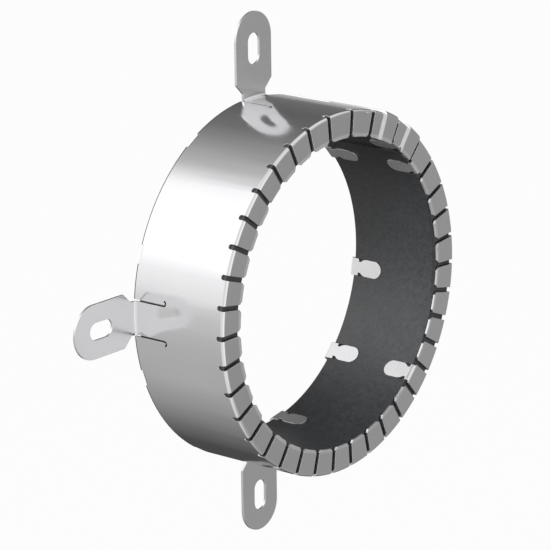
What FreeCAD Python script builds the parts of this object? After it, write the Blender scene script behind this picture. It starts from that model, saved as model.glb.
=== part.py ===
"""Pipe fire collar: a folded sheet-steel housing round an intumescent liner.

The collar is fixed to a wall. Its own frame has the origin on the wall plane at the
middle of the pipe, with +Z up, and the tabs that close on the pipe lie towards -Y.
Angles are in degrees round the pipe as seen from the front, 0 at three o'clock and
90 at twelve o'clock. Lengths are in millimetres.
"""

import FreeCAD, Part
import Sketcher
import math
import os

OUT_FOLDER = "parts"

SIZES = [
    ("pipe_radius", 80.0, "plastic pipe that the collar closes round"),
    ("pipe_clearance", 1.0, "room between the pipe and the tab tips"),
    ("band_radius", 95.0, "outside of the band"),
    ("band_depth", 57.8, "from the wall to the front of the tabs"),
    ("sheet_thickness", 1.2, "polished steel sheet"),
    ("fold_radius", 1.7, "outside radius where tabs and tongues turn"),
    ("tab_gap", 2.6, "width of the gap between two tabs"),
    ("gap_reach", 4.0, "how far each gap runs on to the band"),
    ("tab_corner", 1.4, "cut across the corners of each tab"),
    ("tab_pitch", 9.31, "angle from gap to gap"),
    ("tab_gap_count", 31, "gaps at the regular pitch"),
    ("first_gap_angle", 106.2, "first regular gap, beside the lap"),
    ("lap_tab_arc", 7.3, "angle that each tab of the outer end covers"),
    ("lap_ramp_arc", 2.5, "angle over which the outer end steps up"),
    ("lug_count", 4, "fixing lugs"),
    ("lug_neck_width", 17.4, "strip between the two slits"),
    ("lug_width", 28.0, "plate of the lug"),
    ("lug_reach", 44.8, "from the band to the tip of the lug"),
    ("lug_neck_reach", 3.3, "from the band to the shoulder"),
    ("lug_shoulder", 5.2, "height of the sloping shoulder"),
    ("lug_bend_radius", 1.6, "inside radius where the lug turns out"),
    ("screw_slot_width", 9.0, "for an 8 mm anchor"),
    ("screw_slot_length", 16.5, "end to end"),
    ("screw_slot_reach", 25.5, "from the band to the middle of the slot"),
    ("slit_width", 1.0, "slit on each side of a lug"),
    ("slit_length", 19.5, "from the wall to the hook of the slit"),
    ("slit_hook_radius", 0.7, "inside radius of the hook"),
    ("tongue_width", 9.2, "rounded tongue that holds the liner"),
    ("tongue_length", 14.6, "end to end"),
    ("tongue_neck_width", 6.0, "left between the notches behind the rounded end"),
    ("tongue_notch", 0.5, "from the strap to the rounded end, along the neck"),
    ("wall_tongue_reach", 6.0, "from the wall to the rounded end of a tongue"),
    ("front_tongue_reach", 3.0, "from the front of the tabs to that end"),
    ("bend_relief", 0.3, "notch on each side of a folded web"),
    ("tip_relief", 2.0, "taken off a tab's tip on each side of its tongue"),
    ("upper_tongue_angle", 42.0, "wall tongues in view, read one by one"),
    ("right_tongue_angle", -9.2, "beside the slit of the right lug"),
    ("lower_tongue_angle", -42.7, "below the right lug"),
    ("bottom_tongue_angle", -79.6, "beside the bottom lug"),
    ("hidden_tongue_angle", 80.5, "first of the wall tongues out of view"),
    ("hidden_tongue_step", 40.0, "angle from one of these to the next"),
    ("hidden_tongue_count", 5, "wall tongues out of view"),
    ("front_tongue_tab", 2.5, "first tab with a tongue, in pitches from the first gap"),
    ("front_tongue_step", 10, "pitches from one such tab to the next"),
    ("front_tongue_count", 3, "tongues on the regular tabs"),
    ("fit", 0.1, "room between the liner and the steel"),
    ("tongue_rise", 0.4, "how far a tongue stands above the liner"),
    ("liner_setback", 1.7, "from the webs at the wall to the liner"),
    ("liner_step", 1.2, "thickness of the innermost liner layer"),
    ("liner_bed_arc", 8.0, "angle that stays bare beside the end of that layer"),
    ("liner_ramp_arc", 15.0, "angle over which the next layer runs in"),
]

# Gaps inside the lap, as shares of the angle that the regular gaps leave over.
LAP_GAP_SHARES = [0.126, 0.269, 0.405, 0.573, 0.743, 0.874]
LAP_GAP_OF_OUTER_END = 3
LAP_GAP_OF_START = 4


def make_sheet(document):
    """Write the driving sizes, one row each, with their aliases."""
    sheet = document.addObject("Spreadsheet::Sheet", "size")
    for row, (alias, value, note) in enumerate(SIZES, start=1):
        sheet.set("A%d" % row, note)
        sheet.set("B%d" % row, str(value))
        sheet.setAlias("B%d" % row, alias)
    document.recompute()
    return sheet


doc = FreeCAD.newDocument("fire_collar")
size_sheet = make_sheet(doc)

TIP = "(size.pipe_radius + size.pipe_clearance)"
INSIDE = "(size.band_radius - size.sheet_thickness)"
OUTSIDE = "size.band_radius"
THICK = "size.sheet_thickness"
FRONT = "(-size.band_depth)"
FOLD = "size.fold_radius"
FOLD_INSIDE = "(size.fold_radius - size.sheet_thickness)"
TONGUE_LOW = TIP
TONGUE_HIGH = "(%s + %s)" % (TONGUE_LOW, THICK)
LINER = "(%s + size.tongue_rise)" % TONGUE_LOW
LUG_FOLD = "(size.lug_bend_radius + size.sheet_thickness)"
LAP_ARC = "(360 - size.tab_pitch * (size.tab_gap_count - 1))"


def number(expression):
    """Value of a sheet expression, as a plain number."""
    result = size_sheet.evalExpression(expression)
    return float(getattr(result, "Value", result))


def minus(expression):
    return "-(%s)" % expression


def lap_gap_angle(index):
    """Angle of one of the uneven gaps in the lap."""
    return "(size.first_gap_angle - %s * %s)" % (LAP_GAP_SHARES[index], LAP_ARC)


def half_angle(half_width, radius):
    """Angle that half a width covers at a radius."""
    return "(asin((%s) / (%s)) / 1 deg)" % (half_width, radius)


OUTER_END_GAP = lap_gap_angle(LAP_GAP_OF_OUTER_END)
START_GAP = lap_gap_angle(LAP_GAP_OF_START)
OUTER_END = "(%s + size.lap_tab_arc)" % OUTER_END_GAP
LAP_TONGUE = "(%s - size.tab_pitch / 2)" % OUTER_END_GAP
FRONT_TONGUE = "(size.first_gap_angle + size.tab_pitch * size.front_tongue_tab)"
FRONT_TONGUES_ARC = "size.tab_pitch * size.front_tongue_step * (size.front_tongue_count - 1)"
START_TONGUE = "((%s + %s) / 2)" % (lap_gap_angle(4), lap_gap_angle(5))
LINER_END = "(%s - %s)" % (LAP_TONGUE, half_angle("size.tongue_width / 2 + size.bend_relief", TIP))


def arc_between(start, end, radius, turn):
    """Arc of less than half a circle from start to end, turn +1 anticlockwise."""
    chord = end.sub(start)
    half = chord.Length / 2
    height = math.sqrt(max(radius * radius - half * half, 0.0))
    side = FreeCAD.Vector(-chord.y, chord.x, 0).normalize().multiply(turn * height)
    centre = start.add(end).multiply(0.5).add(side)
    first, last = (start, end) if turn > 0 else (end, start)
    angles = [math.atan2(point.y - centre.y, point.x - centre.x) for point in (first, last)]
    circle = Part.Circle(centre, FreeCAD.Vector(0, 0, 1), radius)
    return Part.ArcOfCircle(circle, angles[0], angles[1])


def place_point(sketch, geometry, end, corner):
    """Tie a point to its two coordinates, given as sheet expressions."""
    for kind, axis, expression in (("DistanceX", -2, corner[0]), ("DistanceY", -1, corner[1])):
        if expression == "0":
            sketch.addConstraint(Sketcher.Constraint("PointOnObject", geometry, end, axis))
            continue
        distance = Sketcher.Constraint(kind, -1, 1, geometry, end, number(expression))
        index = sketch.addConstraint(distance)
        sketch.setExpression("Constraints[%d]" % index, expression)


def draw_outline(sketch, corners, arcs=None):
    """Closed outline through corners, where arcs gives radius and turn by corner."""
    arcs = arcs or {}
    base = sketch.GeometryCount
    points = [FreeCAD.Vector(number(x), number(y), 0) for x, y in corners]
    count = len(points)
    starts = []
    ends = []
    for index, point in enumerate(points):
        following = points[(index + 1) % count]
        if index in arcs:
            radius, turn = arcs[index]
            sketch.addGeometry(arc_between(point, following, number(radius), turn))
        else:
            turn = 1
            sketch.addGeometry(Part.LineSegment(point, following))
        starts.append(1 if turn > 0 else 2)
        ends.append(2 if turn > 0 else 1)
    for index in range(count):
        following = (index + 1) % count
        joint = (base + index, ends[index], base + following, starts[following])
        sketch.addConstraint(Sketcher.Constraint("Coincident", *joint))
    for index in range(count):
        place_point(sketch, base + index, starts[index], corners[index])
    for index, (radius, turn) in arcs.items():
        constraint = Sketcher.Constraint("Radius", base + index, number(radius))
        name = "Constraints[%d]" % sketch.addConstraint(constraint)
        sketch.setExpression(name, radius)


def draw_circle(sketch, radius):
    """Circle about the pipe's axis."""
    up = FreeCAD.Vector(0, 0, 1)
    index = sketch.addGeometry(Part.Circle(FreeCAD.Vector(0, 0, 0), up, number(radius)))
    sketch.addConstraint(Sketcher.Constraint("Coincident", index, 3, -1, 1))
    name = sketch.addConstraint(Sketcher.Constraint("Radius", index, number(radius)))
    sketch.setExpression("Constraints[%d]" % name, radius)


def origin_feature(body, role):
    return [item for item in body.Origin.OriginFeatures if item.Role == role][0]


# Each kind of sketch lies across twelve o'clock and is turned about the pipe's axis,
# which is the sketch's own axis given here with the sense of the turn.
SKETCH_TURNS = {
    "XY_Plane": ((0, 1, 0), "90 - (%s)"),
    "YZ_Plane": ((1, 0, 0), "90 - (%s)"),
    "XZ_Plane": ((0, 0, 1), "(%s) - 90"),
}


def new_sketch(body, name, role, angle="90", height="0"):
    """Sketch on one of the body's planes, turned to an angle round the pipe."""
    sketch = body.newObject("Sketcher::SketchObject", name)
    sketch.AttachmentSupport = [(origin_feature(body, role), "")]
    sketch.MapMode = "FlatFace"
    axis, turn = SKETCH_TURNS[role]
    rotation = FreeCAD.Rotation(FreeCAD.Vector(*axis), number(turn % angle))
    sketch.AttachmentOffset = FreeCAD.Placement(FreeCAD.Vector(0, 0, 0), rotation)
    if height == "0":
        return sketch
    if role == "XZ_Plane":
        sketch.setExpression("AttachmentOffset.Base.z", height)
    else:
        sketch.setExpression("AttachmentOffset.Base.x", "(%s) * cos(%s)" % (height, angle))
        sketch.setExpression("AttachmentOffset.Base.z", "(%s) * sin(%s)" % (height, angle))
    return sketch


def radial_sketch(body, name, angle, height="0"):
    """Sketch seen from outside the band: x along the rim, y along the pipe."""
    return new_sketch(body, name, "XY_Plane", angle, height)


def section_sketch(body, name, angle="90"):
    """Sketch of a section: x along the pipe, y away from its axis."""
    return new_sketch(body, name, "YZ_Plane", angle)


def front_sketch(body, name, height="0", angle="90"):
    """Sketch seen from the front, at a height from the wall."""
    return new_sketch(body, name, "XZ_Plane", angle, height)


def revolve(body, sketch, name, arc=None, kind="PartDesign::Revolution"):
    """Turn a section about the pipe's axis, whole or over an arc either side."""
    feature = body.newObject(kind, name)
    feature.Profile = sketch
    feature.Refine = False
    feature.ReferenceAxis = (sketch, ["H_Axis"])
    if arc is None:
        feature.Angle = 360
    else:
        feature.Midplane = True
        feature.Angle = number(arc)
        feature.setExpression("Angle", arc)
    return feature


def pad(body, sketch, name, length):
    feature = body.newObject("PartDesign::Pad", name)
    feature.Profile = sketch
    feature.Refine = False
    feature.Length = number(length)
    feature.setExpression("Length", length)
    return feature


def pocket_outwards(body, sketch, name, length):
    """Cut from the pipe's axis outwards."""
    feature = body.newObject("PartDesign::Pocket", name)
    feature.Profile = sketch
    feature.Refine = False
    feature.Reversed = True
    feature.Length = number(length)
    feature.setExpression("Length", length)
    return feature


def repeat(body, features, name, arc, count):
    """Copies of features round the pipe, anticlockwise from the front."""
    pattern = body.newObject("PartDesign::PolarPattern", name)
    pattern.Originals = features
    pattern.Refine = False
    pattern.Axis = (origin_feature(body, "Y_Axis"), [""])
    pattern.Reversed = True
    pattern.Angle = number(arc)
    pattern.setExpression("Angle", arc)
    pattern.Occurrences = int(number(count))
    pattern.setExpression("Occurrences", count)
    body.Tip = pattern
    return pattern


def strip_section(body):
    """Band and tab flange as one folded section, all the way round."""
    sketch = section_sketch(body, "strip_section")
    flat = "%s + %s" % (FRONT, FOLD)
    bend = "%s - %s" % (OUTSIDE, FOLD)
    behind = "%s + %s" % (FRONT, THICK)
    corners = [
        (FRONT, TIP), (FRONT, bend), (flat, OUTSIDE), ("0", OUTSIDE),
        ("0", INSIDE), (behind, INSIDE), (behind, TIP),
    ]
    draw_outline(sketch, corners, {1: (FOLD, -1)})
    return revolve(body, sketch, "strip")


def lap_band(body):
    """Outer end of the strip, which steps up on to the start and runs over it."""
    sketch = front_sketch(body, "lap_band_outline")
    top = "(%s + %s)" % (OUTSIDE, THICK)
    low = "(%s - size.lap_ramp_arc)" % START_GAP
    corners = [
        polar(OUTSIDE, low), polar(top, START_GAP),
        polar(top, OUTER_END), polar(OUTSIDE, OUTER_END),
    ]
    draw_outline(sketch, corners, {1: (top, 1), 3: (OUTSIDE, -1)})
    return pad(body, sketch, "lap_band", "size.band_depth - size.gap_reach")


def lap_tab(body, name, gap):
    """One tab of the outer end, in front of the tabs of the start."""
    side = half_angle("size.tab_gap / 2", TIP)
    middle = "(%s + (size.lap_tab_arc + %s) / 2)" % (gap, side)
    sketch = section_sketch(body, name + "_section", middle)
    flat = "%s + %s" % (FRONT, FOLD)
    bend = "%s - %s" % (OUTSIDE, FOLD)
    face = "%s - %s" % (FRONT, THICK)
    top = "%s + %s" % (OUTSIDE, THICK)
    edge = "%s + size.gap_reach" % FRONT
    corners = [
        (face, TIP), (face, bend), (flat, top), (edge, top),
        (edge, OUTSIDE), (flat, OUTSIDE), (FRONT, bend), (FRONT, TIP),
    ]
    arcs = {1: ("%s + %s" % (FOLD, THICK), -1), 5: (FOLD, 1)}
    draw_outline(sketch, corners, arcs)
    return revolve(body, sketch, name, "size.lap_tab_arc - %s" % side)


def polar(radius, angle):
    return ("%s * cos(%s)" % (radius, angle), "%s * sin(%s)" % (radius, angle))


def tab_gap(body, name, angle):
    """Gap between two tabs: round end on the band, corners cut at the tips."""
    sketch = radial_sketch(body, name + "_outline", angle)
    half = "size.tab_gap / 2"
    open_end = "%s - %s" % (FRONT, THICK)
    round_end = "%s + size.gap_reach" % FRONT
    straight_end = "%s - %s" % (round_end, half)
    corners = [
        (minus(half), open_end), (half, open_end), (half, straight_end),
        ("0", round_end), (minus(half), straight_end),
    ]
    draw_outline(sketch, corners, {2: (half, 1), 3: (half, 1)})
    slot = pocket_outwards(body, sketch, name, "%s + %s" % (OUTSIDE, THICK))
    sketch = front_sketch(body, name + "_corners", "size.band_depth - 2 * %s" % THICK, angle)
    wide = "%s + size.tab_corner" % half
    low = "%s - size.tab_corner" % TIP
    high = "%s + size.tab_corner" % TIP
    corners = [
        (half, high), (minus(half), high), (minus(wide), TIP),
        (minus(wide), low), (wide, low), (wide, TIP),
    ]
    draw_outline(sketch, corners)
    return [slot, pocket_outwards(body, sketch, name + "_flare", "3 * %s" % THICK)]


def tab_gaps(body):
    """Regular gaps and the uneven ones in the lap."""
    first = tab_gap(body, "tab_gap", "size.first_gap_angle")
    whole_arc = "size.tab_pitch * (size.tab_gap_count - 1)"
    repeat(body, first, "tab_gaps", whole_arc, "size.tab_gap_count")
    for index in range(len(LAP_GAP_SHARES)):
        tab_gap(body, "lap_gap_%d" % (index + 1), lap_gap_angle(index))


def end_groove(body, name, angle, fold, half_arc):
    """Take away the edge of the band where a web or lug folds over."""
    sketch = section_sketch(body, name + "_section", angle)
    low = "%s - %s" % (INSIDE, THICK)
    high = "%s + 2 * %s" % (OUTSIDE, THICK)
    back = minus(fold)
    corners = [(back, low), (THICK, low), (THICK, high), (back, high)]
    draw_outline(sketch, corners)
    return revolve(body, sketch, name, "2 * (%s)" % half_arc, "PartDesign::Groove")


def lug_slit(body, name, side):
    """Slit beside a lug with a small hook that turns away from it."""
    sketch = radial_sketch(body, name + "_outline", "90")
    near = "size.lug_neck_width / 2"
    width = "size.slit_width"
    inner = "size.slit_hook_radius"
    outer = "(%s + %s)" % (inner, width)
    middle = "%s + %s" % (near, outer)
    across = [near, middle, "%s + %s" % (middle, outer), "%s + %s" % (middle, inner),
              middle, "%s + %s" % (near, width), "%s + %s" % (near, width), near]
    start = "-size.slit_length"
    along = [start, "%s - %s" % (start, outer), start, start,
             "%s - %s" % (start, inner), start, THICK, THICK]
    corners = [(x if side > 0 else minus(x), y) for x, y in zip(across, along)]
    arcs = {0: (outer, side), 1: (outer, side), 3: (inner, -side), 4: (inner, -side)}
    draw_outline(sketch, corners, arcs)
    return pocket_outwards(body, sketch, name, "%s + 3 * %s" % (OUTSIDE, THICK))


def lug_bend(body):
    """Fold from the band to the lug."""
    sketch = section_sketch(body, "lug_bend_section")
    back = minus(LUG_FOLD)
    out = "%s + size.lug_bend_radius" % OUTSIDE
    corners = [(back, INSIDE), ("0", out), (minus(THICK), out), (back, OUTSIDE)]
    arcs = {0: (LUG_FOLD, 1), 2: ("size.lug_bend_radius", -1)}
    draw_outline(sketch, corners, arcs)
    return revolve(body, sketch, "lug_bend", "2 * %s" % NECK_ARC)


NECK_ARC = half_angle("size.lug_neck_width / 2", OUTSIDE)
NECK_ARC_WITH_SLIT = half_angle("size.lug_neck_width / 2 + size.slit_width", OUTSIDE)


def lug_plate(body):
    """Flat plate of a lug with its slot for the screw."""
    sketch = front_sketch(body, "lug_plate_outline")
    out = "(%s + size.lug_bend_radius)" % OUTSIDE
    neck, foot = polar(out, "(90 - %s)" % NECK_ARC)
    half = "size.lug_width / 2"
    shoulder = "%s + size.lug_neck_reach" % OUTSIDE
    full = "%s + size.lug_shoulder" % shoulder
    tip = "%s + size.lug_reach" % OUTSIDE
    round_start = "%s - %s" % (tip, half)
    corners = [
        (neck, foot), (neck, shoulder), (half, full), (half, round_start), ("0", tip),
        (minus(half), round_start), (minus(half), full), (minus(neck), shoulder),
        (minus(neck), foot),
    ]
    draw_outline(sketch, corners, {3: (half, 1), 4: (half, 1), 8: (out, -1)})
    draw_slot(sketch, "%s + size.screw_slot_reach" % OUTSIDE)
    return pad(body, sketch, "lug_plate", THICK)


def draw_slot(sketch, middle):
    """Upright slot with round ends about a middle height."""
    half = "size.screw_slot_width / 2"
    straight = "(size.screw_slot_length - size.screw_slot_width) / 2"
    full = "size.screw_slot_length / 2"
    low = "%s - %s" % (middle, straight)
    high = "%s + %s" % (middle, straight)
    corners = [
        (half, low), (half, high), ("0", "%s + %s" % (middle, full)),
        (minus(half), high), (minus(half), low), ("0", "%s - %s" % (middle, full)),
    ]
    draw_outline(sketch, corners, {index: (half, 1) for index in (1, 2, 4, 5)})


def lugs(body):
    """Fixing lugs folded out of the band, with a slit on each side of the root."""
    groove = end_groove(body, "lug_root", "90", LUG_FOLD, NECK_ARC_WITH_SLIT)
    right_slit = lug_slit(body, "lug_slit_right", 1)
    left_slit = lug_slit(body, "lug_slit_left", -1)
    bend = lug_bend(body)
    plate = lug_plate(body)
    repeat(body, [groove, right_slit, left_slit, bend, plate], "lugs", "360", "size.lug_count")


def tongue(body, name, angle, round_end, turn, strap_end, lift):
    """Flat tongue with two round ends and a strap that leads to its fold.

    The tongue runs from its round end along turn, 1 towards the wall and -1 away from
    it, and the strap goes the other way.
    """
    half = "size.tongue_width / 2"
    neck = "size.tongue_neck_width / 2"
    forward = "%s + " if turn > 0 else "%s - "
    backward = "%s - " if turn > 0 else "%s + "
    near = (forward + "%s") % (round_end, half)
    far = (forward + "size.tongue_length - %s") % (round_end, half)
    if turn < 0:
        far = "%s - size.tongue_length + %s" % (round_end, half)
    end = (forward + "size.tongue_length") % round_end
    on_arc = (backward + "sqrt((%s) ^ 2 - (%s) ^ 2)") % (near, half, neck)
    notch = (backward + "size.tongue_notch") % round_end
    corners = [
        (half, strap_end), (half, notch), (neck, notch), (neck, on_arc), (half, near),
        (half, far), ("0", end), (minus(half), far), (minus(half), near),
        (minus(neck), on_arc), (minus(neck), notch), (minus(half), notch),
        (minus(half), strap_end),
    ]
    sketch = radial_sketch(body, name + "_outline", angle, "%s + %s" % (TONGUE_LOW, lift))
    arcs = {index: (half, turn) for index in (3, 5, 6, 8)}
    draw_outline(sketch, corners, arcs)
    return pad(body, sketch, name, THICK)


def across(body, sketch, name):
    """Folded strap, as wide as a tongue, from its section."""
    feature = pad(body, sketch, name, "size.tongue_width")
    feature.Midplane = True
    return feature


def wall_tongue(body, name, angle):
    """Tongue folded in from the wall edge of the band, over the liner."""
    half = "size.tongue_width / 2"
    fold = minus(FOLD)
    sketch = radial_sketch(body, name + "_relief_outline", angle)
    wide = "%s + size.bend_relief" % half
    draw_outline(sketch, [(minus(wide), fold), (wide, fold), (wide, THICK), (minus(wide), THICK)])
    features = [pocket_outwards(body, sketch, name + "_relief", "%s + %s" % (OUTSIDE, THICK))]
    features.append(tongue(body, name, angle, "-size.wall_tongue_reach", -1, fold, "0"))
    edge = "sqrt(%s ^ 2 - (%s) ^ 2)" % (OUTSIDE, wide)
    below = "%s - %s" % (edge, THICK)
    top = "%s - %s" % (edge, FOLD)
    face = minus(THICK)
    foot = "%s + %s" % (TONGUE_LOW, FOLD)
    sketch = section_sketch(body, name + "_section", angle)
    corners = [
        (fold, edge), ("0", top), ("0", foot), (fold, TONGUE_LOW),
        (fold, TONGUE_HIGH), (face, foot), (face, top), (fold, below),
    ]
    arcs = {0: (FOLD, -1), 2: (FOLD, -1), 4: (FOLD_INSIDE, 1), 6: (FOLD_INSIDE, 1)}
    draw_outline(sketch, corners, arcs)
    features.append(across(body, sketch, name + "_web"))
    return features


def front_tongue(body, name, angle, lift="0"):
    """Tongue folded back from the tip of a tab, over the liner."""
    low = "(%s + %s)" % (TONGUE_LOW, lift)
    high = "(%s + %s)" % (TONGUE_HIGH, lift)
    foot = "%s + %s" % (low, FOLD)
    behind = "%s + %s" % (FRONT, THICK)
    fold = "%s + %s" % (FRONT, FOLD)
    wide = "size.tongue_width / 2 + size.tip_relief"
    sketch = radial_sketch(body, name + "_relief_outline", angle)
    before = "%s - %s" % (FRONT, THICK)
    past = "%s + %s / 2" % (behind, FOLD_INSIDE)
    draw_outline(sketch, [(minus(wide), before), (wide, before), (wide, past), (minus(wide), past)])
    features = [pocket_outwards(body, sketch, name + "_relief", foot)]
    reach = "%s + size.front_tongue_reach" % FRONT
    features.append(tongue(body, name, angle, reach, 1, fold, lift))
    sketch = section_sketch(body, name + "_section", angle)
    corners = [(FRONT, foot), (fold, low), (fold, high), (behind, foot)]
    draw_outline(sketch, corners, {0: (FOLD, 1), 2: (FOLD_INSIDE, -1)})
    features.append(across(body, sketch, name + "_web"))
    return features


def tongues(body):
    """Tongues that keep the liner in place, at the wall and behind the tabs."""
    first = wall_tongue(body, "hidden_tongue", "size.hidden_tongue_angle")
    whole_arc = "size.hidden_tongue_step * (size.hidden_tongue_count - 1)"
    repeat(body, first, "hidden_tongues", whole_arc, "size.hidden_tongue_count")
    for name in ("upper", "right", "lower", "bottom"):
        wall_tongue(body, name + "_tongue", "size.%s_tongue_angle" % name)
    first = front_tongue(body, "front_tongue", FRONT_TONGUE)
    repeat(body, first, "front_tongues", FRONT_TONGUES_ARC, "size.front_tongue_count")
    front_tongue(body, "start_tongue", START_TONGUE)
    front_tongue(body, "lap_tongue", LAP_TONGUE, "size.liner_step")


def make_housing(document):
    """Strip of steel rolled to a ring, with tabs, lugs and tongues folded out of it."""
    body = document.addObject("PartDesign::Body", "housing")
    body.Label = "housing"
    strip_section(body)
    tab_gaps(body)
    lugs(body)
    tongues(body)
    lap_band(body)
    lap_tab(body, "lap_tab_1", START_GAP)
    lap_tab(body, "lap_tab_2", OUTER_END_GAP).Refine = True
    return body


def recess(body, name, angle, outer_end, turn, round_end, lift="0"):
    """Hollow that a tongue presses into the liner, open at the liner's end."""
    half = "(size.tongue_width / 2 + size.fit)"
    sign = "+" if turn > 0 else "-"
    end = "%s %s (size.tongue_length + size.fit)" % (round_end, sign)
    last = "%s %s (size.tongue_length - size.tongue_width / 2)" % (round_end, sign)
    sketch = radial_sketch(body, name + "_outline", angle)
    corners = [
        (half, outer_end), (half, last), ("0", end), (minus(half), last), (minus(half), outer_end),
    ]
    draw_outline(sketch, corners, {1: (half, turn), 2: (half, turn)})
    return pocket_outwards(body, sketch, name, "%s + %s + size.fit" % (TONGUE_HIGH, lift))


def make_liner(document):
    """Wound liner whose innermost layer stops beside the deeper tongue."""
    body = document.addObject("PartDesign::Body", "intumescent_liner")
    body.Label = "intumescent_liner"
    back = "(%s + size.liner_setback)" % THICK
    front = "(%s + size.fit)" % FOLD
    sketch = front_sketch(body, "liner_outline", back)
    draw_circle(sketch, "%s - size.fit" % INSIDE)
    bed = "(%s + size.liner_step)" % LINER
    mean = "(%s + size.liner_step / 2)" % LINER
    bed_end = "(%s + size.liner_bed_arc)" % LINER_END
    corners = [
        polar(bed, LINER_END), polar(bed, bed_end),
        polar(LINER, "(%s + size.liner_ramp_arc)" % bed_end),
        polar(LINER, "(%s + 120)" % LINER_END), polar(LINER, "(%s + 240)" % LINER_END),
        polar(LINER, LINER_END),
    ]
    arcs = {0: (bed, 1), 1: (mean, 1), 2: (LINER, 1), 3: (LINER, 1), 4: (LINER, 1)}
    draw_outline(sketch, corners, arcs)
    pad(body, sketch, "liner", "size.band_depth - %s - %s" % (back, front))
    wall = ("0", -1, "-size.wall_tongue_reach")
    first = recess(body, "hidden_recess", "size.hidden_tongue_angle", *wall)
    whole_arc = "size.hidden_tongue_step * (size.hidden_tongue_count - 1)"
    repeat(body, [first], "hidden_recesses", whole_arc, "size.hidden_tongue_count")
    for name in ("upper", "right", "lower", "bottom"):
        recess(body, name + "_recess", "size.%s_tongue_angle" % name, *wall)
    ahead = (FRONT, 1, "%s + size.front_tongue_reach" % FRONT)
    first = recess(body, "front_recess", FRONT_TONGUE, *ahead)
    repeat(body, [first], "front_recesses", FRONT_TONGUES_ARC, "size.front_tongue_count")
    recess(body, "start_recess", START_TONGUE, *ahead)
    recess(body, "lap_recess", LAP_TONGUE, *ahead, "size.liner_step").Refine = True
    return body


def check(document, bodies):
    """Stop before anything is written if an object or a solid is wrong."""
    document.recompute()
    wrong = [item.Name for item in document.Objects
             if "Invalid" in item.State or "Error" in item.State]
    if wrong:
        raise RuntimeError("objects in error: " + ", ".join(wrong))
    for body in bodies:
        shape = body.Shape
        if shape.isNull() or not shape.isValid():
            raise RuntimeError(body.Label + " has no valid shape")
        if len(shape.Solids) != 1:
            raise RuntimeError("%s has %d solids" % (body.Label, len(shape.Solids)))
        box = shape.BoundBox
        print(body.Label, "volume", round(shape.Volume, 1), "faces", len(shape.Faces),
              "box", [round(value, 3) for value in
                      (box.XMin, box.XMax, box.YMin, box.YMax, box.ZMin, box.ZMax)])


housing = make_housing(doc)
intumescent_liner = make_liner(doc)
check(doc, [housing, intumescent_liner])

os.makedirs(OUT_FOLDER, exist_ok=True)
for part_body in (housing, intumescent_liner):
    part_body.Shape.exportStep(os.path.join(OUT_FOLDER, part_body.Label + ".step"))
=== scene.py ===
"""Looks of the pipe fire collar: polished steel, wound liner, light tent and camera.

Blender's units are metres. The frame is the part's own: the wall plane is y = 0, the pipe
runs along y, the tabs lie towards -y and +z is up.
"""

import bpy
import math
from mathutils import Matrix, Vector

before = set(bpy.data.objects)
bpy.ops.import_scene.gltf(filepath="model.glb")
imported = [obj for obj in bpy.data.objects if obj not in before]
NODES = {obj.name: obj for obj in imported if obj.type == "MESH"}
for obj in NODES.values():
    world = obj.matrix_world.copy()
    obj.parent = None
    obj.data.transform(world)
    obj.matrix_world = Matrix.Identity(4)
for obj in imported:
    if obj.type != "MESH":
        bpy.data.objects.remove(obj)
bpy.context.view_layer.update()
MM = 0.001


def grey(level):
    """Neutral colour of one level."""
    return (level, level, level, 1)


class Tree:
    """Short ways to add and join the nodes of one material or world."""

    def __init__(self, tree):
        self.tree = tree

    def put(self, value, socket):
        """Set a socket to a value, or join it to another node's output."""
        if isinstance(value, bpy.types.NodeSocket):
            self.tree.links.new(value, socket)
        else:
            socket.default_value = value

    def node(self, kind, inputs=None, **settings):
        """Add a shader node with its settings and named inputs."""
        node = self.tree.nodes.new("ShaderNode" + kind)
        for name, value in settings.items():
            setattr(node, name, value)
        for name, value in (inputs or {}).items():
            self.put(value, node.inputs[name])
        return node

    def math(self, operation, first, second=0.0):
        """Result of a sum, product or other operation on one or two values."""
        node = self.node("Math", operation=operation)
        self.put(first, node.inputs[0])
        self.put(second, node.inputs[1])
        return node.outputs[0]

    def remap(self, value, low, high, to_low, to_high, kind="LINEAR"):
        """Value from one range to another, held at its ends."""
        inputs = {"Value": value, "From Min": low, "From Max": high,
                  "To Min": to_low, "To Max": to_high}
        return self.node("MapRange", inputs, interpolation_type=kind, clamp=True).outputs["Result"]

    def share(self, value, low, high, kind="LINEAR"):
        """0 at one value and 1 at another, which may be the lower one."""
        return self.remap(value, low, high, 0.0, 1.0, kind)

    def noise(self, vector, scale, detail=3.0, roughness=0.5):
        """Soft noise with so many waves to each unit of a vector."""
        inputs = {"Vector": vector, "Scale": scale, "Detail": detail, "Roughness": roughness}
        return self.node("TexNoise", inputs).outputs["Fac"]

    def mix_color(self, share, first, second):
        """First colour where the share is 0, second where it is 1."""
        node = self.node("Mix", {"Factor": share}, data_type="RGBA")
        colors = [socket for socket in node.inputs if socket.type == "RGBA"]
        self.put(first, colors[0])
        self.put(second, colors[1])
        return next(socket for socket in node.outputs if socket.type == "RGBA")

    def place(self):
        """Point on the object, in metres."""
        return self.node("TexCoord").outputs["Object"]

    def around_pipe(self):
        """Angle round the pipe in radians, place along it and distance from its axis."""
        x, y, z = self.node("SeparateXYZ", {"Vector": self.place()}).outputs
        angle = self.math("ARCTAN2", z, x)
        squares = self.math("ADD", self.math("MULTIPLY", x, x), self.math("MULTIPLY", z, z))
        return angle, y, self.math("SQRT", squares)

    def combine(self, x, y, z):
        """Vector of three values."""
        return self.node("CombineXYZ", {"X": x, "Y": y, "Z": z}).outputs[0]

    def bump(self, height, strength, distance, normal=None):
        """Shading normal of a height, on top of another normal where one is given."""
        inputs = {"Height": height, "Strength": strength, "Distance": distance}
        if normal is not None:
            inputs["Normal"] = normal
        return self.node("Bump", inputs).outputs[0]


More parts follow.
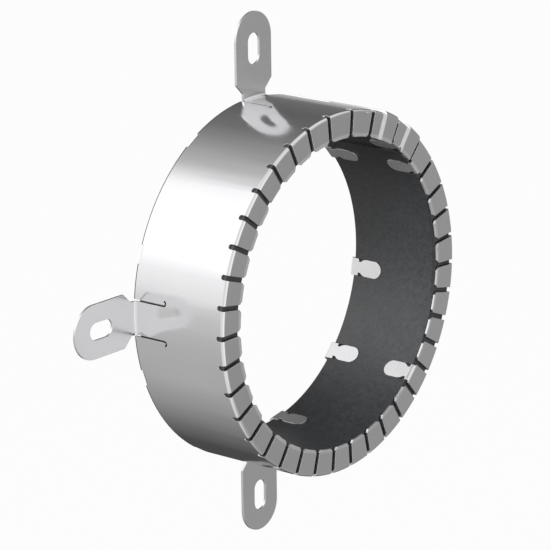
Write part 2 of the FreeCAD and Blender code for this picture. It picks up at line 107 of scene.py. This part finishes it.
def new_material(name):
    """Empty material; gives back the material and its tree."""
    material = bpy.data.materials.new(name)
    material.use_nodes = True
    material.node_tree.nodes.clear()
    return material, Tree(material.node_tree)


def principled(tree):
    """Principled shader joined to the output of a material's tree."""
    shader = tree.node("BsdfPrincipled")
    tree.node("OutputMaterial", {"Surface": shader.outputs["BSDF"]})
    return shader


def dress(node, material):
    """Give a CAD node one material on all its slots."""
    mesh = NODES[node].data
    if not mesh.materials:
        mesh.materials.append(material)
    for index in range(len(mesh.materials)):
        mesh.materials[index] = material


# Polished steel

BAND_RADIUS = 95 * MM
LUG_FOOT = 97 * MM
TONGUE_TOP = 82.4 * MM
WALL_EDGE_SHADE_WIDTH = 0.7 * MM
EDGE_ROUND = 0.35 * MM
STEEL_TINTS = ((0.86, 0.86, 0.875, 1), (0.89, 0.89, 0.90, 1))
WALL_EDGE_SHADE_TINT = (0.10, 0.10, 0.105, 1)
GRAIN_ALONG_STRIP = 12
GRAIN_ACROSS_STRIP = 900
STEEL_ROUGHNESS = (0.10, 0.14)
SMEAR_ROUGHNESS = 0.03
PRESSED_ROUGHNESS = 0.22


def rolling_grain(tree, angle, along, radius):
    """Fine noise drawn out along the strip, as the rolls leave it."""
    strip = tree.combine(tree.math("MULTIPLY", angle, BAND_RADIUS * GRAIN_ALONG_STRIP),
                         tree.math("MULTIPLY", along, GRAIN_ACROSS_STRIP),
                         tree.math("MULTIPLY", radius, GRAIN_ACROSS_STRIP))
    return tree.noise(strip, 1.0, 4.0, 0.6)


def painted_wall_edge_shade(tree, along, radius):
    """1 on the last of the band's outside at the wall: painted shade along the band's rear edge."""
    outside = tree.math("MULTIPLY", tree.share(radius, BAND_RADIUS - MM / 4, BAND_RADIUS - MM / 8),
                        tree.share(radius, BAND_RADIUS + MM / 4, BAND_RADIUS + MM / 8))
    return tree.math("MULTIPLY", tree.share(along, -WALL_EDGE_SHADE_WIDTH, -WALL_EDGE_SHADE_WIDTH / 2), outside)


def pressed(tree, radius):
    """1 on the tongues and at the tips of the tabs, half on the lugs: less shine there."""
    tongue = tree.share(radius, TONGUE_TOP + MM, TONGUE_TOP)
    lug = tree.math("MULTIPLY", tree.share(radius, LUG_FOOT, LUG_FOOT + MM), 0.5)
    return tree.math("ADD", tongue, lug)


def polished_steel():
    """Bright rolled sheet: a mirror with faint rolling grain along the strip."""
    material, tree = new_material("polished_steel")
    shader = principled(tree)
    angle, along, radius = tree.around_pipe()
    grain = rolling_grain(tree, angle, along, radius)
    cloud = tree.noise(tree.place(), 22.0, 2.0)
    smear = tree.noise(tree.place(), 160.0, 4.0, 0.65)
    tint = tree.mix_color(tree.share(cloud, 0.3, 0.7), *STEEL_TINTS)
    # Painted shade: the band's outside is coloured dark along its wall edge.
    tint = tree.mix_color(painted_wall_edge_shade(tree, along, radius), tint, WALL_EDGE_SHADE_TINT)
    tree.put(tint, shader.inputs["Base Color"])
    shader.inputs["Metallic"].default_value = 1.0
    rough = tree.math("ADD", tree.remap(grain, 0.25, 0.75, *STEEL_ROUGHNESS),
                      tree.remap(smear, 0.4, 0.75, 0.0, SMEAR_ROUGHNESS))
    satin = tree.math("MULTIPLY", pressed(tree, radius), PRESSED_ROUGHNESS)
    tree.put(tree.math("ADD", rough, satin), shader.inputs["Roughness"])
    rounded = tree.node("Bevel", {"Radius": EDGE_ROUND}, samples=4).outputs["Normal"]
    rolled = tree.bump(grain, 0.05, 0.02 * MM, rounded)
    tree.put(tree.bump(cloud, 0.05, 0.4 * MM, rolled), shader.inputs["Normal"])
    return material


# Intumescent liner

LINER_RADIUS = 81.4 * MM
LINER_LAYER = 1.2 * MM
LINER_FRONT = (-54.0 * MM, -55.8 * MM)
LINER_TONES = ((0.013, 0.0145, 0.017, 1), (0.034, 0.036, 0.040, 1))
FLECK_TONE = (0.13, 0.13, 0.135, 1)
FLECK_SHARE = 0.35
LINER_ROUGHNESS = (0.34, 0.42)


def winding(tree, angle, along, radius):
    """Grooves between the wound layers, on the liner's front end."""
    layer = tree.math("DIVIDE", tree.math("SUBTRACT", radius, LINER_RADIUS), LINER_LAYER)
    turns = tree.math("MULTIPLY", angle, 0.5 / math.pi)
    seam = tree.math("PINGPONG", tree.math("ADD", layer, turns), 0.5)
    groove = tree.share(seam, 0.0, 0.08, "SMOOTHSTEP")
    return tree.math("MULTIPLY", tree.math("SUBTRACT", groove, 1.0), tree.share(along, *LINER_FRONT))


def intumescent():
    """Dark graphite strip: granular faces, wound in layers that show on its end."""
    material, tree = new_material("intumescent")
    shader = principled(tree)
    angle, along, radius = tree.around_pipe()
    place = tree.place()
    grains = tree.noise(place, 1500.0, 3.0, 0.6)
    flecks = tree.node("TexVoronoi", {"Vector": place, "Scale": 900.0}).outputs["Distance"]
    weave = tree.noise(place, 350.0, 4.0, 0.6)
    patch = tree.noise(place, 40.0, 3.0)
    dark = tree.mix_color(tree.share(weave, 0.35, 0.7), *LINER_TONES)
    tone = tree.mix_color(tree.remap(flecks, 0.0, 0.22, FLECK_SHARE, 0.0), dark, FLECK_TONE)
    tree.put(tone, shader.inputs["Base Color"])
    tree.put(tree.remap(patch, 0.3, 0.7, *LINER_ROUGHNESS), shader.inputs["Roughness"])
    shader.inputs["Specular IOR Level"].default_value = 1.0
    granular = tree.bump(grains, 0.5, 0.25 * MM)
    wavy = tree.bump(weave, 0.35, 0.6 * MM, granular)
    layered = tree.bump(winding(tree, angle, along, radius), 0.8, 0.5 * MM, wavy)
    tree.put(layered, shader.inputs["Normal"])
    return material


dress("housing", polished_steel())
dress("intumescent_liner", intumescent())


# Studio

scene = bpy.context.scene
scene.view_settings.view_transform = "Standard"

WHITE = (1, 1, 1, 1)
AMBIENT = 0.20
FLOOR_HEIGHT = -1.0
FLOOR_SIZE = 12.0
FLOOR_WHITE = 0.97
TENT_RADIUS = 0.9
TENT_HALF_LENGTH = 1.7
TENT_SIDES = 96

# Levels of the tent behind the wall plane, by angle round the pipe in degrees.
TENT_BACK = [
    (-180, 0.85), (-170, 0.60), (-150, 0.47), (-125, 0.43), (-105, 0.30), (-85, 0.16),
    (-65, 0.07), (-30, 0.06), (0, 0.5), (15, 0.16), (40, 0.12), (65, 0.17), (85, 0.34),
    (100, 0.52), (114, 1.1), (140, 1.3), (155, 1.25), (168, 0.98), (180, 0.85),
]
# Levels of its front at the lower right, by metres ahead of the wall plane, and the one level of
# the rest, with the angles between which one gives way to the other.
TENT_FRONT = [(0.30, 0.30), (0.55, 0.32), (0.66, 0.32), (0.76, 0.275), (0.90, 0.33), (1.7, 0.8)]
TENT_FRONT_LEVEL = 0.78
TENT_FRONT_UPPER = (10, 50)
TENT_FRONT_LOWER = (-80, -120)
# Metres to either side of the wall plane over which the front gives way to the back.
TENT_TURN = 0.12

KEY_LIGHT_PLACE = (-1.2, -0.5, 1.05)
KEY_LIGHT_AIM = (0.03, -0.03, -0.03)
KEY_LIGHT_SIZE = 0.6
KEY_LIGHT_POWER = 30.0


def seen_directly(tree):
    """1 for rays from the camera and for those that metal or glass sends on."""
    path = tree.node("LightPath").outputs
    share = tree.math("MAXIMUM", path["Is Camera Ray"], path["Is Glossy Ray"])
    return tree.math("MAXIMUM", share, path["Is Transmission Ray"])


def white_world():
    """White round the object, and a plain level of light on it."""
    world = bpy.data.worlds.new("studio")
    world.use_nodes = True
    world.node_tree.nodes.clear()
    tree = Tree(world.node_tree)
    level = tree.remap(seen_directly(tree), 0.0, 1.0, AMBIENT, 1.0)
    light = tree.node("Background", {"Color": WHITE, "Strength": level})
    tree.node("OutputWorld", {"Surface": light.outputs[0]})
    return world


def mesh_object(name, corners, faces, material):
    """Plain mesh with one material, in the scene."""
    mesh = bpy.data.meshes.new(name)
    mesh.from_pydata(corners, [], faces)
    mesh.materials.append(material)
    thing = bpy.data.objects.new(name, mesh)
    scene.collection.objects.link(thing)
    return thing


def make_floor():
    """Pale floor well below the collar, near white to the camera."""
    material, tree = new_material("floor")
    matte = tree.node("BsdfDiffuse", {"Color": grey(0.9)})
    white = tree.node("Emission", {"Color": WHITE, "Strength": 1.0})
    mix = tree.node("MixShader", {"Fac": tree.math("MULTIPLY", seen_directly(tree), FLOOR_WHITE)})
    tree.put(matte.outputs[0], mix.inputs[1])
    tree.put(white.outputs[0], mix.inputs[2])
    tree.node("OutputMaterial", {"Surface": mix.outputs[0]})
    half = FLOOR_SIZE / 2
    signs = ((-1, -1), (1, -1), (1, 1), (-1, 1))
    corners = [(x * half, y * half, FLOOR_HEIGHT) for x, y in signs]
    return mesh_object("floor", corners, [(0, 1, 2, 3)], material)


def ramp(tree, value, levels):
    """Grey levels at given places, in their order."""
    low, high = levels[0][0], levels[-1][0]
    node = tree.node("ValToRGB")
    elements = node.color_ramp.elements
    for index, (place, level) in enumerate(levels):
        position = (place - low) / (high - low)
        element = elements[index] if index < 2 else elements.new(position)
        element.position = position
        element.color = grey(level)
    tree.put(tree.share(value, low, high), node.inputs["Fac"])
    return node.outputs["Color"]


def tent_material():
    """Glow of the tent: one set of levels behind the wall plane, another before it."""
    material, tree = new_material("light_tent")
    angle, along, radius = tree.around_pipe()
    degrees = tree.math("MULTIPLY", angle, 180 / math.pi)
    back = ramp(tree, degrees, TENT_BACK)
    right = ramp(tree, tree.math("MULTIPLY", along, -1.0), TENT_FRONT)
    above = tree.share(degrees, *TENT_FRONT_UPPER, "SMOOTHSTEP")
    below = tree.share(degrees, *TENT_FRONT_LOWER, "SMOOTHSTEP")
    front = tree.mix_color(tree.math("MAXIMUM", above, below), right, grey(TENT_FRONT_LEVEL))
    side = tree.share(along, -TENT_TURN, TENT_TURN, "SMOOTHSTEP")
    glow = tree.node("Emission", {"Color": tree.mix_color(side, front, back), "Strength": 1.0})
    tree.node("OutputMaterial", {"Surface": glow.outputs[0]})
    return material


def make_tent():
    """Light tent round the collar, which only the metal and the liner's sheen show."""
    corners = []
    for y in (-TENT_HALF_LENGTH, TENT_HALF_LENGTH):
        for step in range(TENT_SIDES):
            turn = 2 * math.pi * step / TENT_SIDES
            corners.append((TENT_RADIUS * math.cos(turn), y, TENT_RADIUS * math.sin(turn)))
    faces = []
    for step in range(TENT_SIDES):
        following = (step + 1) % TENT_SIDES
        faces.append((step, following, TENT_SIDES + following, TENT_SIDES + step))
    tent = mesh_object("light_tent", corners, faces, tent_material())
    tent.visible_camera = False
    tent.visible_diffuse = False
    tent.visible_shadow = False
    return tent


def aimed(place, target):
    """Turn that points a light or camera from its place to a target."""
    return (Vector(target) - Vector(place)).to_track_quat("-Z", "Y")


def soft_light(name, place, target, size, power):
    """Square soft box that no metal mirrors."""
    data = bpy.data.lights.new(name, "AREA")
    data.size = size
    data.energy = power
    light = bpy.data.objects.new(name, data)
    light.location = place
    light.rotation_mode = "QUATERNION"
    light.rotation_quaternion = aimed(place, target)
    light.visible_glossy = False
    scene.collection.objects.link(light)


scene.world = white_world()
make_floor()
make_tent()
soft_light("key_light", KEY_LIGHT_PLACE, KEY_LIGHT_AIM, KEY_LIGHT_SIZE, KEY_LIGHT_POWER)


# Camera, fitted to the rims of the band in the photograph

CAMERA_PLACE = Vector((-1298.66, -1082.47, 486.96)) * MM
CAMERA_AIM = Vector((-19.656, -29.533, 9.785)) * MM
CAMERA_ROLL = math.radians(-0.737)
CAMERA_LENS = 221.64
CAMERA_SENSOR = 36.0
CAMERA_CLIP = (0.01, 100)


def make_camera():
    """Camera at the photograph's angle."""
    data = bpy.data.cameras.new("camera")
    data.sensor_width = CAMERA_SENSOR
    data.lens = CAMERA_LENS
    data.clip_start, data.clip_end = CAMERA_CLIP
    camera = bpy.data.objects.new("camera", data)
    scene.collection.objects.link(camera)
    camera.location = CAMERA_PLACE
    camera.rotation_mode = "QUATERNION"
    roll = Matrix.Rotation(CAMERA_ROLL, 3, "Z").to_quaternion()
    camera.rotation_quaternion = aimed(CAMERA_PLACE, CAMERA_AIM) @ roll
    return camera


scene.camera = make_camera()
